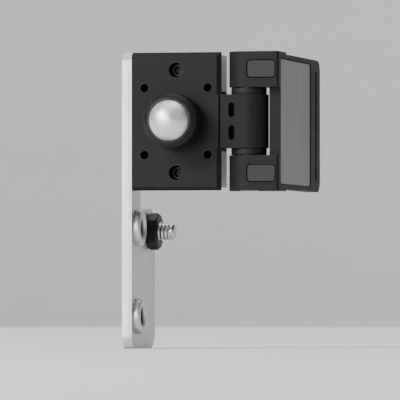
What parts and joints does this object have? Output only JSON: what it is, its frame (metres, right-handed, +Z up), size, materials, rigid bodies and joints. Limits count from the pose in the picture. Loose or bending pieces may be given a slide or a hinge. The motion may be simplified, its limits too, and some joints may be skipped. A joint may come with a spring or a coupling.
{
  "type": "concealed enclosure door hinge",
  "caption": "Short three-knuckle concealed hinge on a folded wall bracket, with a domed guide stud and a swing leaf that carries the door or panel of a sheet-metal enclosure.",
  "frame": {"origin": "midway between the two wall screws, on the bracket face that lies against the enclosure wall", "axes": "+X away from that wall, +Y into the enclosure (the hinge's front faces -Y), +Z up along the hinge pin"},
  "size_m": [0.0324, 0.0527, 0.0601],
  "materials": {
    "zinc_sheet": "bright zinc plate, satin",
    "zinc_bush": "zinc plate",
    "black_cast": "fine-textured black powder coat on die-cast zinc",
    "black_steel": "black oxide",
    "plain_steel": "ground steel",
    "bright_dome": "satin nickel",
    "pad_plastic": "moulded, matt",
    "bush_plastic": "acetal, matt",
    "light_sheet": "matt zinc plate"
  },
  "bodies": {
    "frame_side": {"mounting_bracket": "zinc_sheet", "clinch_nuts": "zinc_bush", "earth_stud": "plain_steel", "earth_nut": "black_steel", "frame_leaf": "black_cast", "adjust_screws": "black_steel", "guide_stud": "black_steel", "stud_dome": "bright_dome", "stud_washer": "zinc_bush", "stud_nut": "zinc_bush", "upper_bush": "bush_plastic", "lower_bush": "bush_plastic"},
    "swing_side": {"swing_arm": "black_cast", "upper_pad": "pad_plastic", "lower_pad": "pad_plastic", "hinge_pin": "plain_steel", "pin_washer": "zinc_bush", "pin_clip": "black_steel", "leaf_insert": "light_sheet", "leaf_rivets": "zinc_bush"}
  },
  "joints": [
    {"name": "leaf_swing", "type": "hinge", "parent": "frame_side", "child": "swing_side", "pos_m": [0.0255, -0.0005, 0.0305], "axis": [0, 0, 1], "range_deg": [-102, 45]}
  ]
}
